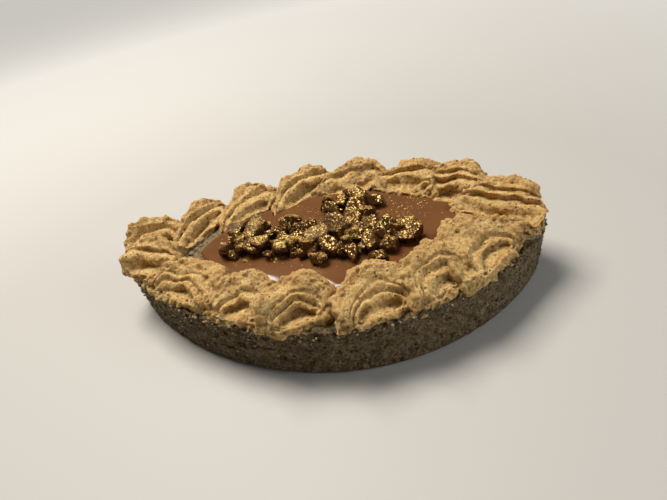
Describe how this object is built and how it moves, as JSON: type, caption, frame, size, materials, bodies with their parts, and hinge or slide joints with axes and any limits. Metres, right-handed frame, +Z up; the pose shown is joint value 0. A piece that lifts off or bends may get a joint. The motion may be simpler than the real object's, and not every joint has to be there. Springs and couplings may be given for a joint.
{
  "type": "tartlet",
  "caption": "Boat-shaped nut pastry tartlet with a border of piped dough swirls, a glossy milk chocolate pool and a heap of gold-dusted crunch.",
  "frame": {"origin": "middle of the flat base of the pastry case", "axes": "+X along the boat towards its blunter end, +Z up, +Y across the boat, away from the picture's camera"},
  "size_m": [0.1059, 0.0635, 0.0217],
  "materials": {
    "pastry": "matte baked nut pastry with dark specks and pores",
    "dough": "matte golden baked dough with dark nut specks and browned tops",
    "chocolate": "smooth glossy milk chocolate",
    "crunch": "dark brown crunch with glittering gold dust"
  },
  "bodies": {
    "root": {"pastry_case": "pastry", "swirl_01": "dough", "swirl_02": "dough", "swirl_03": "dough", "swirl_04": "dough", "swirl_05": "dough", "swirl_06": "dough", "swirl_07": "dough", "swirl_08": "dough", "swirl_09": "dough", "swirl_10": "dough", "swirl_11": "dough", "swirl_12": "dough", "swirl_13": "dough", "swirl_14": "dough", "swirl_15": "dough", "chocolate": "chocolate", "crunch_heap": "crunch"}
  },
  "joints": []
}
